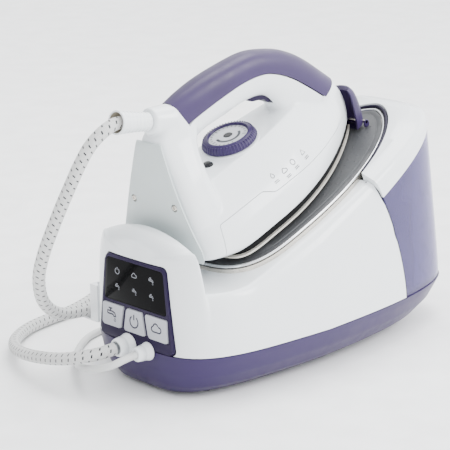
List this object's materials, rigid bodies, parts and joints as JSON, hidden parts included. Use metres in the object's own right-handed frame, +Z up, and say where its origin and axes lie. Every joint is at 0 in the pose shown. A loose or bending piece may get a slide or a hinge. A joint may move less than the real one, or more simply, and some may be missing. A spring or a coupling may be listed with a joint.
{
  "type": "steam generator iron",
  "caption": "Steam generator iron: a boiler base with slide-out water tank and control panel, and a corded iron parked nose-up on the sloping rest.",
  "frame": {"origin": "under the middle of the base, on the plane of its feet", "axes": "+X towards the water tank, -X the control panel, +Y the flank with the hose hook, +Z up"},
  "size_m": [0.4848, 0.3586, 0.3],
  "materials": {
    "white_shell": "gloss moulded white",
    "pale_grey": "satin",
    "deep_purple": "satin",
    "grip_purple": "soft satin",
    "tank_lavender": "translucent",
    "black_plastic": "gloss",
    "key_grey": "satin",
    "mat_grey": "matt",
    "steel": "brushed",
    "bright_rim": "bright",
    "cast_metal": "as cast",
    "brass": "turned",
    "rubber": "matt",
    "circuit_board": "lacquered",
    "hose_braid": "woven sleeve",
    "lead_white": "smooth"
  },
  "bodies": {
    "base": {"base_tray": "deep_purple", "foot_front_left": "rubber", "foot_front_right": "rubber", "foot_rear_left": "rubber", "foot_rear_right": "rubber", "upper_casing": "white_shell", "bay_wall": "deep_purple", "tank_shelf": "deep_purple", "boiler": "steel", "solenoid_valve": "brass", "pump": "black_plastic", "power_board": "circuit_board", "display_board": "circuit_board", "inlet_pipe": "rubber", "feed_pipe": "rubber", "steam_pipe": "rubber", "panel_frame": "deep_purple", "display_window": "black_plastic", "hose_socket": "white_shell", "lead_socket": "white_shell", "rest_plate": "steel", "rest_mat": "mat_grey", "rest_rim": "bright_rim", "rest_pad_left": "deep_purple", "rest_pad_right": "deep_purple", "bay_gasket": "deep_purple", "latch_bracket": "deep_purple", "latch_pin": "steel", "hose_hook": "white_shell", "hose_upper": "hose_braid", "hose_coil": "hose_braid", "hose_lower": "hose_braid", "lead": "lead_white", "lead_coil": "lead_white", "lead_end": "lead_white", "plug": "lead_white"},
    "iron": {"soleplate": "steel", "heater_casting": "cast_metal", "heating_element": "cast_metal", "steam_chamber_cover": "steel", "heat_shield": "black_plastic", "iron_skirt": "white_shell", "iron_housing": "white_shell", "grip_cover": "grip_purple", "heel_cover": "pale_grey", "heel_screw_left": "steel", "heel_screw_right": "steel", "indicator_lamp": "black_plastic", "microswitch": "black_plastic", "thermostat": "brass", "hose_sleeve": "white_shell"},
    "trigger": {"steam_trigger": "deep_purple"},
    "dial": {"temperature_dial": "deep_purple"},
    "tank": {"water_tank": "tank_lavender", "tank_valve": "brass", "tank_lid": "white_shell"},
    "steam_level_key": {"key_steam_level": "key_grey"},
    "power_key": {"key_power": "key_grey"},
    "tap_key": {"key_tap": "key_grey"},
    "latch": {"nose_latch": "grip_purple"}
  },
  "joints": [
    {"name": "iron_lift", "type": "slide", "parent": "base", "child": "iron", "axis": [-0.3746, 0, 0.9272], "range_m": [0, 0.1], "deforming": ["hose_upper"]},
    {"name": "steam_trigger_pull", "type": "hinge", "parent": "iron", "child": "trigger", "pos_m": [-0.05039, 0, 0.25684], "axis": [0, -1, 0], "range_deg": [0, 8], "stiffness_Nm_per_rad": 0.05, "springref_deg": -5.73},
    {"name": "dial_turn", "type": "hinge", "parent": "iron", "child": "dial", "pos_m": [-0.07244, 0, 0.21612], "axis": [-0.3746, 0, 0.9272], "range_deg": [-135, 135]},
    {"name": "tank_slide", "type": "slide", "parent": "base", "child": "tank", "axis": [1, 0, 0], "range_m": [0, 0.125]},
    {"name": "steam_level_key_press", "type": "slide", "parent": "base", "child": "steam_level_key", "axis": [1, 0, 0], "range_m": [0, 0.0012], "stiffness_N_per_m": 400, "springref_m": -0.001},
    {"name": "power_key_press", "type": "slide", "parent": "base", "child": "power_key", "axis": [1, 0, 0], "range_m": [0, 0.0012], "stiffness_N_per_m": 400, "springref_m": -0.001},
    {"name": "tap_key_press", "type": "slide", "parent": "base", "child": "tap_key", "axis": [1, 0, 0], "range_m": [0, 0.0012], "stiffness_N_per_m": 400, "springref_m": -0.001},
    {"name": "nose_latch_turn", "type": "hinge", "parent": "base", "child": "latch", "pos_m": [0.10483, 0, 0.20901], "axis": [0, 1, 0], "range_deg": [0, 22]}
  ]
}
